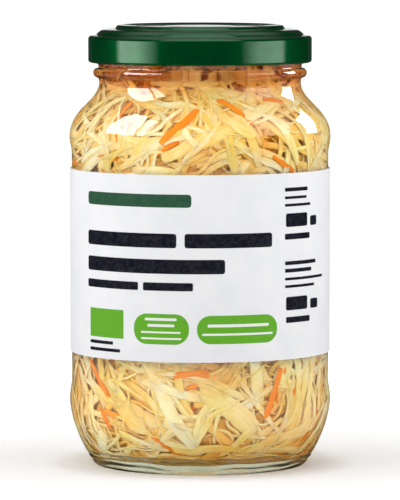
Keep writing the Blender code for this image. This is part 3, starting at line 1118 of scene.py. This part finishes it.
# Strips that show best, by kind: angle from the front, height, lean, length, width, bend, depth and tone,
# in millimetres and degrees
PLACED = {
    "carrot_strips": (
        (-53.4, 34.9, -52, 18, 2.1, 6, -0.4, 0.6),
        (-4.0, 38.4, 5, 13, 2.7, -12, -0.4, 0.6),
        (-1.9, 34.3, 21, 7, 1.9, 0, 0.4, 0.2),
        (35.7, 30.7, 68, 19.5, 2.4, 10, -0.4, 0.6),
        (43.0, 40.1, 80, 5, 1.3, 0, 0.3, 0.5),
        (-48.6, 20.5, -66, 7, 1.9, 8, -0.2, 0.5),
        (-66.1, 36.1, -50, 5, 1.5, 0, 0.9, 0.3),
        (-9.8, 129.6, 43, 17, 2.7, -8, -0.4, 0.6),
        (-2.2, 137.7, 7, 6.5, 1.3, 0, 0.5, 0.4),
        (18.5, 135.0, -37, 14.5, 2.4, -30, -0.2, 0.35),
        (45.5, 138.2, -11, 8.5, 2.0, -10, -0.3, 0.6),
        (41.6, 115.9, -31, 12, 1.9, 0, -0.3, 0.5),
    ),
    "cabbage_broad": (
        (-14.7, 27.7, -63, 38, 5.4, 14, 0.2, 0.1),
        (13.9, 25.2, -37, 27, 7.6, -16, 0.1, 0.3),
        (27.0, 36.6, -82, 18, 4.9, 5, 0.3, 0.0),
        (-33.2, 21.9, -50, 14, 6.6, 20, 0.3, 0.35),
        (44.7, 33.9, -27, 14, 4.0, 15, 0.4, 0.1),
        (-0.5, 124.2, 22, 29, 5.0, -10, 0.1, 0.5),
        (6.2, 134.4, -100, 15, 4.6, 5, 0.3, 0.15),
        (6.3, 142.5, -4, 13, 5.0, 0, 0.8, 0.3),
        (16.4, 130.6, -34, 17, 3.9, 10, 0.2, 0.15),
        (1.2, 18.0, 61, 21, 3.4, 6, 0.5, 0.3),
    ),
    "cabbage_middle": (
        (11.5, 32.9, -24, 17, 3.0, -14, 0.1, 0.2),
        (0.8, 22.0, 68, 15, 3.0, -8, 0.2, 0.35),
        (64.0, 24.4, -80, 17, 2.8, 8, 0.3, 0.2),
        (-58.9, 22.1, -86, 16, 2.8, -8, 0.3, 0.2),
        (-41.6, 31.2, -40, 11, 3.2, 10, 0.2, 0.05),
        (19.5, 13.9, 46, 18, 2.8, 10, 0.3, 0.3),
        (-29.3, 12.7, -21, 20, 2.4, 12, 0.2, 0.25),
        (-5.3, 126.3, -47, 10, 2.6, 5, 0.1, 0.1),
        (42.3, 126.7, -53, 26, 3.2, -34, 0.2, 0.2),
        (-51.6, 137.7, 29, 17, 2.6, -22, 0.3, 0.4),
        (-29.0, 135.8, -23, 24, 2.6, -26, 0.6, 0.35),
        (25.6, 121.7, -70, 15, 3.4, 6, 0.2, 0.2),
        (-24.7, 120.6, 22, 17, 2.8, -10, 0.5, 0.5),
        (9.1, 119.1, 20, 18, 2.9, 10, 0.6, 0.4),
        (-7.0, 18.0, -58, 16, 2.6, 8, 0.4, 0.2),
        (-23.0, 34.0, -70, 16, 2.6, -6, 0.6, 0.45),
        (33.0, 17.0, 30, 15, 2.6, 10, 0.4, 0.3),
        (52.0, 21.0, -65, 18, 2.8, 6, 0.4, 0.3),
        (-62.0, 127.0, 60, 20, 2.6, 10, 0.3, 0.4),
        (58.0, 123.0, -70, 18, 2.6, 8, 0.3, 0.3),
        (-14.0, 41.0, 24, 17, 2.8, 8, 0.7, 0.4),
        (3.0, 42.0, -20, 18, 2.8, -8, 0.9, 0.5),
        (14.0, 41.0, 38, 15, 2.8, 6, 0.8, 0.3),
        (-70.0, 18.0, 75, 18, 2.6, 8, 0.3, 0.1),
        (70.0, 30.0, 80, 16, 2.6, 8, 0.3, 0.1),
    ),
}

CABBAGE = Flesh(
    name="pickled_cabbage",
    tones=((0.0, paint(255, 247, 218)), (0.4, paint(255, 237, 186)), (1.0, paint(252, 214, 122))),
    deep=paint(255, 202, 124),
    deep_share=0.75,
    glow=0.4,
    glow_reach=(1.0, 0.8, 0.5),
    tinges=(paint(255, 228, 196), paint(253, 248, 210)),
)
CARROT = Flesh(
    name="pickled_carrot",
    tones=((0.0, paint(255, 172, 60)), (0.5, paint(255, 152, 26)), (1.0, paint(255, 136, 8))),
    deep=paint(255, 214, 150),
    deep_share=0.5,
    glow=0.3,
    glow_reach=(1.0, 0.45, 0.15),
)


@dataclass
class Contents:
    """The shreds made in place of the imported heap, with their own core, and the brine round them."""

    jar: Jar
    seed: int = 7
    low_z: float = 0.0066
    high_z: float = 0.1555
    brine_top_z: float = 0.1572
    brine_reach: float = 0.0003
    brine_inset: float = 0.0001
    glass_gap: float = 0.00006
    core_depth: float = 0.0034
    core_low_z: float = 0.0068
    core_top_gap: float = 0.001
    core_end_depth: float = 0.002
    core_end_reach: float = 0.0008
    core_segments: int = 220
    core_rows: int = 150
    core_waves: int = 40
    core_wave: float = 0.00022
    core_tone: float = 0.7
    # Painted depth shade of the core
    core_sunk: float = 0.4
    least_r: float = 0.004
    top_gap: float = 0.008
    label_band: Span = (0.0440, 0.1120)
    band_overlap: float = 0.004
    band_shares: Span = (0.42, 0.86)
    layer_shares: Span = (0.36, 0.68)
    layer_depths: tuple[float, ...] = mm(0.0, 0.7, 2.4, 6.0)
    # Heights over which the painted shade under the lid rises, and its full share
    shade_z: Span = (0.1380, 0.1480)
    shade_full: float = 1.5
    flow_low: float = math.radians(68)
    flow_high: float = math.radians(-38)
    flow_share: float = 0.62
    flow_spread: float = math.radians(24)
    flow_turn_z: float = 0.078
    back_spread: float = math.radians(16)
    # Painted light: how much paler strips at the sides of the low band are made
    side_pale: float = 0.35
    side_high_z: float = 0.054
    level_rise: float = 0.008
    level_least: float = 0.15

    def under_lid(self, height: np.ndarray) -> np.ndarray:
        """What the painted shade under the lid adds to each point's painted shade value: a straight rise with the
        height.
        """
        low, high = self.shade_z
        return self.shade_full * np.clip((height - low) / (high - low), 0, 1)

    def scattered(self, kind: ShredKind, draws: np.random.Generator) -> Shreds:
        """Draws the loose strips of one kind.

        Heights fall in the two clear bands of glass or behind the label, where most strips lie near its open back.
        Most leans follow a flow, a sine of the way round with two smaller waves, and the rest fall any way.
        A third of the strips lie on the glass, the next third just under them, and the rest deeper. Strips at the
        sides of the low band, as seen from the front, are made paler: painted light.

        Args:
            kind: The kind of strip.
            draws: Seeded random numbers.

        Returns:
            The strips.
        """
        n = kind.count
        in_low, in_bands = draws.random(n)[None] < column(self.band_shares)
        low = draws.uniform(self.low_z, self.label_band[0] + self.band_overlap, n)
        high = draws.uniform(self.label_band[1] - self.band_overlap, self.high_z - self.top_gap, n)
        hidden = draws.uniform(*self.label_band, n)
        height = np.select([in_low, in_bands], [low, high], hidden)
        near_back = BACK + draws.normal(0, self.back_spread, n)
        angle = np.where(in_bands, draws.uniform(0, 2 * np.pi, n), near_back)
        layer = draws.random(n)
        depths = [draws.uniform(*span, n) for span in zip(self.layer_depths[:-1], self.layer_depths[1:])]
        depth = np.select([layer < share for share in self.layer_shares], depths[:2], depths[2])
        # Random tone, with a painted depth shade: deeper strips get a yellower tone
        tone = np.clip(draws.beta(1.5, 2.4, n) + 0.03 * depth / MM, 0, 1)
        # Painted light: strips towards the sides, as seen from the front, get a paler tone
        from_front = angle - FRONT
        paler = self.side_pale * np.sin(from_front) ** 2 * (height < self.side_high_z)
        tone = np.clip(tone - paler, 0, 1)
        flow = np.where(height < self.flow_turn_z, self.flow_low, self.flow_high) * np.sin(from_front)
        drift = 0.5 * np.sin(3 * from_front + 180 * height) + 0.4 * np.sin(7 * from_front - 310 * height + 2)
        with_flow = flow + drift + draws.normal(0, self.flow_spread, n)
        follows = draws.random(n) < self.flow_share
        lean = np.where(follows, with_flow, draws.uniform(-np.pi / 2, np.pi / 2, n))
        return Shreds(
            angle=angle,
            height=height,
            lean=lean * np.clip((height - self.low_z) / self.level_rise, self.level_least, 1),
            length=draws.uniform(*kind.length, n),
            width=draws.uniform(*kind.width, n),
            thickness=draws.uniform(*kind.thickness, n),
            depth=depth,
            tuck=draws.uniform(*mm(0.3, 3.2), n),
            bend=draws.uniform(-kind.bend, kind.bend, n),
            wave=draws.uniform(0.2, 1.0, n) * kind.wave,
            roll=draws.normal(0, 0.5, n) * kind.roll,
            tone=tone,
        )

    def by_hand(self, kind: ShredKind, draws: np.random.Generator) -> Shreds:
        """The strips of one kind that are placed one by one.

        Args:
            kind: The kind of strip.
            draws: Seeded random numbers, for what the list leaves open.

        Returns:
            The strips, none if the kind has no list.
        """
        rows = np.array(PLACED.get(kind.name, ()), float).reshape(-1, 8)
        angle, height, lean, length, width, bend, depth, tone = rows.T
        n = len(rows)
        return Shreds(
            angle=FRONT + np.radians(angle),
            height=height * MM,
            lean=np.radians(lean),
            length=length * MM,
            width=width * MM,
            thickness=draws.uniform(*kind.thickness, n),
            depth=depth * MM,
            tuck=draws.uniform(*mm(0.0, 0.6), n),
            bend=np.radians(bend),
            wave=draws.uniform(0.02, 0.12, n),
            roll=draws.normal(0, 0.04, n),
            tone=tone,
        )

    def strips(self, shreds: Shreds, kind: ShredKind, draws: np.random.Generator) -> Shape:
        """Works out every strip of a kind at once.

        A strip's heading is its lean plus its bend times the place along it plus a sine wave. Summing the heading's
        cosine and sine gives the way round and the height. A flat oval of the strip's width and thickness, rolled
        about that way, stands at each step, narrower towards the ends and uneven by two sine waves. A corner that
        would pass the glass is pressed onto it.

        Args:
            shreds: The strips.
            kind: Their kind.
            draws: Seeded random numbers.

        Returns:
            One shape with each point's tone, painted shade share and place on its strand.
        """
        n, rings, corners = len(shreds.angle), kind.rings + 1, kind.corners
        u = np.linspace(-0.5, 0.5, rings)[None, :]
        to_end = 2 * np.abs(u)
        phase = draws.uniform(0, 2 * np.pi, (5, n, 1))
        pace = draws.uniform(0.7, 1.7, (n, 1))
        swing = column(shreds.wave) * np.sin(2 * np.pi * pace * u + phase[0])
        heading = column(shreds.lean) + column(shreds.bend) * u + swing
        step = column(shreds.length) / (rings - 1)
        rise = np.cumsum(step * np.sin(heading), axis=1)
        height = column(shreds.height) + rise - rise.mean(axis=1, keepdims=True)
        height = np.clip(height, self.low_z, self.high_z)
        tuck = column(shreds.tuck) * to_end**2.4 + 0.25 * MM * np.sin(5 * u + phase[1])
        depth = np.maximum(column(shreds.depth) + tuck + column(shreds.thickness) / 2, 0)
        wall, above, below = (self.jar.inner_radius(height + more) for more in (0, SLOPE_STEP, -SLOPE_STEP))
        slope = (above - below) / (2 * SLOPE_STEP)
        lean_out = np.sqrt(1 + slope**2)
        radius = np.maximum(wall - depth / lean_out, self.least_r)
        turn = np.cumsum(step * np.cos(heading) / radius, axis=1)
        angle = column(shreds.angle) + turn - turn.mean(axis=1, keepdims=True)
        cos, sin = np.cos(angle), np.sin(angle)
        centre = np.stack([radius * cos, radius * sin, height + depth * slope / lean_out], axis=2)
        way = np.gradient(centre, axis=1)
        way /= np.linalg.norm(way, axis=2, keepdims=True) + TINY
        out = np.stack([cos, sin, -slope], axis=2) / lean_out[..., None]
        out -= (out * way).sum(axis=2, keepdims=True) * way
        out /= np.linalg.norm(out, axis=2, keepdims=True) + TINY
        side = np.cross(out, way)
        roll = (column(shreds.roll) * (1 + 0.6 * np.sin(4 * u + phase[2])))[..., None]
        across = np.cos(roll) * side + np.sin(roll) * out
        through = -np.sin(roll) * side + np.cos(roll) * out
        taper = 1 - kind.pinch * to_end**7
        uneven = 1 + kind.crinkle * (np.sin(9 * u + phase[3]) + 0.6 * np.sin(21 * u + phase[4]))
        half_width = (column(shreds.width) / 2 * taper * uneven)[..., None]
        half_thick = (column(shreds.thickness) / 2 * (1 - 0.5 * to_end**4))[..., None]
        turn_k = -2 * np.pi * np.arange(corners) / corners
        flat = np.sign(np.cos(turn_k)) * np.abs(np.cos(turn_k)) ** 0.8
        thick = np.sign(np.sin(turn_k)) * np.abs(np.sin(turn_k)) ** 0.6
        a = half_width * flat
        c = half_thick * thick - kind.cup * half_width * (flat**2 - 0.4)
        points = centre[:, :, None] + a[..., None] * across[:, :, None] + c[..., None] * through[:, :, None]
        reach = np.hypot(points[..., 0], points[..., 1])
        z = np.clip(points[..., 2], self.jar.floor_height(reach) + self.glass_gap, self.high_z + 0.0004)
        limit = self.jar.inner_radius(z) - self.glass_gap
        shrink = np.minimum(1, limit / np.maximum(reach, TINY))
        shape = tubes(np.stack([points[..., 0] * shrink, points[..., 1] * shrink, z], axis=3))
        # Painted shade value: the share of the way from the glass down to the core, plus the painted shade under
        # the lid
        sunk = np.clip((limit - reach * shrink) / self.core_depth, 0, 1) + self.under_lid(z)
        along = np.broadcast_to((column(shreds.length) * u / MM)[..., None], a.shape)
        number = np.broadcast_to((column(np.arange(n)) * STRAND_GAP)[..., None], a.shape)
        shape.values = {
            "tone": np.broadcast_to(column(shreds.tone)[..., None], a.shape).ravel(),
            "sunk": sunk.ravel(),
            "strand": np.stack([a / MM, along, number], axis=3).reshape(-1, 3),
        }
        return shape

    def core(self, draws: np.random.Generator) -> Shape:
        """The deeper mass of shreds: a turned surface under the strips, uneven by a sum of sine waves.

        Args:
            draws: Seeded random numbers.

        Returns:
            A closed shape with the same values as the strips.
        """
        heights = np.linspace(self.high_z - self.core_top_gap, self.core_low_z, self.core_rows)
        ends = np.minimum(heights - heights[-1], heights[0] - heights)
        radii = self.jar.inner_radius(heights) - self.core_depth
        radii = radii - self.core_end_depth * np.exp(-ends / self.core_end_reach)
        profile = np.vstack([[(0, heights[0])], np.stack([radii, heights], 1), [(0, heights[-1])]])
        turns = draws.integers(3, 60, self.core_waves)
        climbs = draws.uniform(-900, 900, self.core_waves)
        starts = draws.uniform(0, 2 * np.pi, self.core_waves)

        def uneven(angle: np.ndarray, radius: np.ndarray, height: np.ndarray) -> tuple[np.ndarray, np.ndarray]:
            """Adds slanting sine waves to the radius."""
            waves = sum(np.sin(t * angle + c * height + s) for t, c, s in zip(turns, climbs, starts))
            return self.core_wave * waves, np.zeros_like(height)

        shape = turned(profile, self.core_segments, uneven)
        x, y, z = shape.points.T
        # The core gets a fixed painted depth shade, plus the painted shade under the lid
        shape.values = {
            "tone": np.full(len(z), self.core_tone),
            "sunk": self.core_sunk + self.under_lid(z),
            "strand": np.stack([np.sin(3 * np.arctan2(y, x)) * 40, z / MM, 0 * z], axis=1),
        }
        return shape

    def brine(self) -> Shape:
        """The liquid: the jar's inner profile, a little way into the glass, closed by a flat top.

        Returns:
            A closed shape.
        """
        top = (self.jar.inner_neck_r, self.brine_top_z)
        moved = offset(np.vstack([self.jar.inner_profile(), [top]]), self.brine_reach)
        moved[-1] = (self.jar.inner_neck_r - self.brine_inset, self.brine_top_z)
        profile = np.vstack([moved, [(0.0, self.brine_top_z)]])[::-1]
        return turned(profile, self.jar.segments)

    def build(self) -> list[Piece]:
        """Makes the core, the strips and the brine.

        Returns:
            The pieces. The core, the first, stands for the node of the heap.
        """
        draws = np.random.default_rng(self.seed)
        finishes = {Slot.CABBAGE: CABBAGE.make(), Slot.CARROT: CARROT.make()}
        heap = self.core(draws).piece("cabbage_core", finishes[Slot.CABBAGE], Slot.CABBAGE)
        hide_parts("sauerkraut")
        pieces = [heap]
        for kind in KINDS:
            slot = Slot.CARROT if kind.name.startswith("carrot") else Slot.CABBAGE
            shreds = self.by_hand(kind, draws).joined(self.scattered(kind, draws))
            pieces.append(self.strips(shreds, kind, draws).piece(kind.name, finishes[slot], slot))
        pieces.append(self.brine().piece("brine_fill", PALE_BRINE.make(), Slot.BRINE))
        return pieces


def direction(azimuth: float, elevation: float) -> np.ndarray:
    """Unit vector to a point seen from the jar: azimuth from the front towards +X, and elevation, in degrees."""
    turn, rise = math.radians(azimuth), math.radians(elevation)
    return np.array([math.sin(turn) * math.cos(rise), -math.cos(turn) * math.cos(rise), math.sin(rise)])


def staged(name: str, points: np.ndarray, faces: list, finish: bpy.types.Material, passed_by: str) -> Piece:
    """Adds a thing of the studio.

    Args:
        name: Its name.
        points: Its corners.
        faces: Its faces.
        finish: Its material.
        passed_by: The kinds of rays that don't meet it, with spaces between.

    Returns:
        The linked object.
    """
    mesh = bpy.data.meshes.new(name)
    mesh.from_pydata(np.asarray(points, float).tolist(), [], faces)
    mesh.materials.append(finish)
    made = bpy.data.objects.new(name, mesh)
    for ray in passed_by.split():
        setattr(made, "visible_" + ray, False)
    bpy.context.scene.collection.objects.link(made)
    return made


@dataclass(frozen=True)
class Softbox:
    """A rectangular lamp that faces the jar and shades every surface, given by the angles at which it is seen."""

    name: str
    azimuth: Span
    elevation: Span
    radiance: float
    distance: float = 1.3
    aim_z: float = 0.12

    def build(self) -> Piece:
        """Makes the lamp.

        It stands at the middle of its angles. Its sides are twice the distance times the tangent of half its
        angles, and its power is radiance times area times pi.

        Returns:
            The lamp object.
        """
        spans = (self.azimuth, self.elevation)
        way = Vector(direction(*(sum(span) / 2 for span in spans)))
        lamp = bpy.data.lights.new(self.name, "AREA")
        lamp.shape = "RECTANGLE"
        halves = (math.radians(abs(high - low) / 2) for low, high in spans)
        lamp.size, lamp.size_y = (2 * self.distance * math.tan(half) for half in halves)
        lamp.energy = self.radiance * lamp.size * lamp.size_y * math.pi
        made = bpy.data.objects.new(self.name, lamp)
        made.location = Vector((0, 0, self.aim_z)) + self.distance * way
        made.rotation_euler = (-way).to_track_quat("-Z", "Y").to_euler()
        made.visible_camera = made.visible_glossy = made.visible_transmission = False
        bpy.context.scene.collection.objects.link(made)
        return made


@dataclass(frozen=True)
class Window:
    """A flat bright shape that only one piece mirrors, given by its corners as azimuth and elevation in degrees."""

    name: str
    mirrored_by: str
    corners: tuple[Span, ...]
    radiance: float
    soft: float = 0.06
    bright: tuple[Span, ...] = ()
    distance: float = 1.3
    aim_z: float = 0.13

    def build(self) -> Piece:
        """Makes the shape.

        Each corner is a direction stretched until it meets the plane square to their mean. An inner ring gives full
        light, and the corners none. It is given, or else moved towards the middle by the soft share.

        Returns:
            The shape.
        """
        ways = np.array([direction(*corner) for corner in self.corners])
        middle = ways.mean(axis=0)
        middle /= np.linalg.norm(middle)
        outer = ways / (ways @ middle)[:, None]
        inner = outer + self.soft * (outer.mean(axis=0) - outer)
        if self.bright:
            full = np.array([direction(*corner) for corner in self.bright])
            inner = full / (full @ middle)[:, None]
        n = len(outer)
        points = np.vstack([outer, inner, outer.mean(axis=0)]) * self.distance + np.array([0, 0, self.aim_z])
        ring = [(i, (i + 1) % n, n + (i + 1) % n, n + i) for i in range(n)]
        fan = [(n + i, n + (i + 1) % n, 2 * n) for i in range(n)]
        tree = Tree.named(self.name)
        share = tree.add("Attribute", attribute_name="light").outputs["Fac"]
        glow = tree.add("Emission", {"Strength": tree.math("MULTIPLY", share, self.radiance)})
        made = staged(self.name, points, ring + fan, tree.finish(glow), "camera diffuse shadow transmission")
        light = np.concatenate([np.zeros(n), np.ones(n + 1)]).astype(np.float32)
        made.data.attributes.new("light", "FLOAT", "POINT").data.foreach_set("value", light)
        mirrors = bpy.data.collections.new(self.name + "_mirrors")
        mirrors.objects.link(bpy.data.objects[self.mirrored_by])
        made.light_linking.receiver_collection = mirrors
        return made


def strip(left: float, right: float, low: float, high: float) -> tuple[Span, ...]:
    """Corners of a window between two azimuths and two elevations."""
    return (left, low), (left, high), (right, high), (right, low)


LEFT_WINDOW = ((-89, 8), (-98, 31), (-106, 48), (-103, 56), (-83, 61), (-63, 43), (-60, 9))
LEFT_PANE = ((-58, 9), (-59, 38), (-73, 58), (-52, 57), (-47, 35), (-51, 8))
RIGHT_WINDOW = ((107, 8), (116, 35), (141, 31), (130, 17), (124, 6))
RIGHT_WALL = ((48, 6), (62, 63), (100, 63), (112, 42), (86, 6))
TOP_SHEET = ((-45, 22), (-135, 70), (135, 70), (45, 22))


@dataclass
class Studio:
    """The pale floor, the light round the jar and the camera."""

    distance: float = 1.70
    elevation: float = math.radians(4.55)
    aim_z: float = 0.0811
    lens: float = 322.3
    sensor: float = 36.0
    floor_reach: float = 30.0
    room_light: float = 0.30
    jar_light: float = 2.3
    screen_r: float = 1.9
    screen_height: float = 1.3
    screen_gap: float = math.radians(34)
    screen_columns: int = 64
    lights: tuple[Softbox | Window, ...] = (
        Softbox("left_soft", (-107, -47), (5, 60), 1.22),
        Softbox("right_soft", (47, 107), (5, 60), 1.05),
        Window("left_window", "jar_body", LEFT_WINDOW, 15.0),
        Window("left_pane", "jar_body", LEFT_PANE, 10.0),
        Window("right_window", "jar_body", RIGHT_WINDOW, 12.0),
        Window("right_wall", "jar_body", RIGHT_WALL, 3.0, 0.3),
        Window("top_sheet", "lid_shell", TOP_SHEET, 1.5, 0.3),
        Window("left_strip", "lid_shell", strip(-95, -42, -16, 12), 4.6, bright=strip(-88, -68, -9, 5)),
        Window("right_strip", "lid_shell", strip(42, 98, -16, 12), 3.3, bright=strip(63, 92, -9, 5)),
    )

    def camera(self) -> Piece:
        """Makes the camera, aimed level with the middle of the jar from in front and a little above.

        Returns:
            The camera object.
        """
        data = bpy.data.cameras.new("camera")
        data.sensor_width = self.sensor
        data.lens = self.lens
        data.clip_start = 0.05
        data.clip_end = 200.0
        made = bpy.data.objects.new("camera", data)
        back, up = self.distance * math.cos(self.elevation), self.distance * math.sin(self.elevation)
        made.location = (0.0, -back, self.aim_z + up)
        made.rotation_euler = (math.pi / 2 - self.elevation, 0.0, 0.0)
        bpy.context.scene.collection.objects.link(made)
        bpy.context.scene.camera = made
        return made

    def floor(self) -> Piece:
        """Makes the floor: one square."""
        corners = np.array([(-1, -1, 0), (1, -1, 0), (1, 1, 0), (-1, 1, 0)]) * self.floor_reach
        return staged("floor", corners, [(0, 1, 2, 3)], FloorPaint().make(self.jar_light / 2), "glossy")

    def screen(self) -> Piece:
        """Stands a black screen round the jar, open behind it, that only mirrored rays meet.

        Returns:
            A part of a cylinder: angle and height on a grid.
        """
        n = self.screen_columns
        angle = np.linspace(BACK + self.screen_gap, BACK + 2 * np.pi - self.screen_gap, n + 1)
        circle = self.screen_r * np.stack([np.cos(angle), np.sin(angle), 0 * angle], 1)
        points = np.vstack([circle, circle + (0, 0, self.screen_height)])
        tree = Tree.named("black_screen")
        path = tree.add("LightPath").outputs
        mirrored = tree.math("MULTIPLY", path["Is Reflection Ray"], path["Is Glossy Ray"])
        black = tree.principled(BLACK, Specular_IOR_Level=0.0)
        finish = tree.finish(tree.mixed(mirrored, tree.add("BsdfTransparent"), black))
        faces = [(i, i + 1, i + n + 2, i + n + 1) for i in range(n)]
        return staged("screen", points, faces, finish, "camera diffuse shadow")

    def world(self) -> None:
        """Lights the room evenly, and gives what shines a dark room with a white ceiling and a white far side.

        Clear glass sees a white far side and a dark near one, and the camera sees white.
        """
        room = bpy.data.worlds.new("room")
        bpy.context.scene.world = room
        tree = Tree(room, "OutputWorld")
        soft = {"interpolation_type": "SMOOTHSTEP"}
        way = tree.add("SeparateXYZ", {0: tree.add("TexCoord").outputs["Generated"]}).outputs
        path = tree.add("LightPath").outputs
        ceiling = tree.spread(way["Z"], (0.55, 0.90), (0.03, 0.8), **soft)
        far_side = tree.spread(way["Y"], (0.985, 0.994), (0.0, 1.0), **soft)
        behind = tree.spread(way["Y"], (0.1, 0.5), (0.05, 1.0), **soft)
        first_glass = tree.spread(path["Diffuse Depth"], (0.4, 0.6), (1.0, 0.0), **soft)
        shines = tree.choose(path["Is Diffuse Ray"], path["Is Reflection Ray"], 0.0)
        level = tree.choose(shines, self.room_light, tree.choose(far_side, ceiling, 1.0))
        through = tree.choose(first_glass, self.jar_light, behind)
        level = tree.choose(path["Is Transmission Ray"], level, through)
        level = tree.choose(path["Is Camera Ray"], level, 1.0)
        tree.finish(tree.add("Background", {"Color": (*WHITE, 1.0), "Strength": level}))

    def build(self) -> None:
        """Makes the whole studio and sets how colours are shown."""
        view = bpy.context.scene.view_settings
        view.view_transform = "Standard"
        view.look = "None"
        self.camera()
        self.floor()
        self.screen()
        self.world()
        for light in self.lights:
            light.build()


def main() -> None:
    """Builds the jar, its lid, its label and its contents."""
    logging.basicConfig(level=logging.INFO, format="%(name)s: %(message)s")
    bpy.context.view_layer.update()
    jar = Jar()
    pieces = [jar.build(), Lid().build(), *Label().build(), *Contents(jar).build()]
    Studio().build()
    log.info("%d pieces made", len(pieces))


if __name__ == "__main__":
    main()
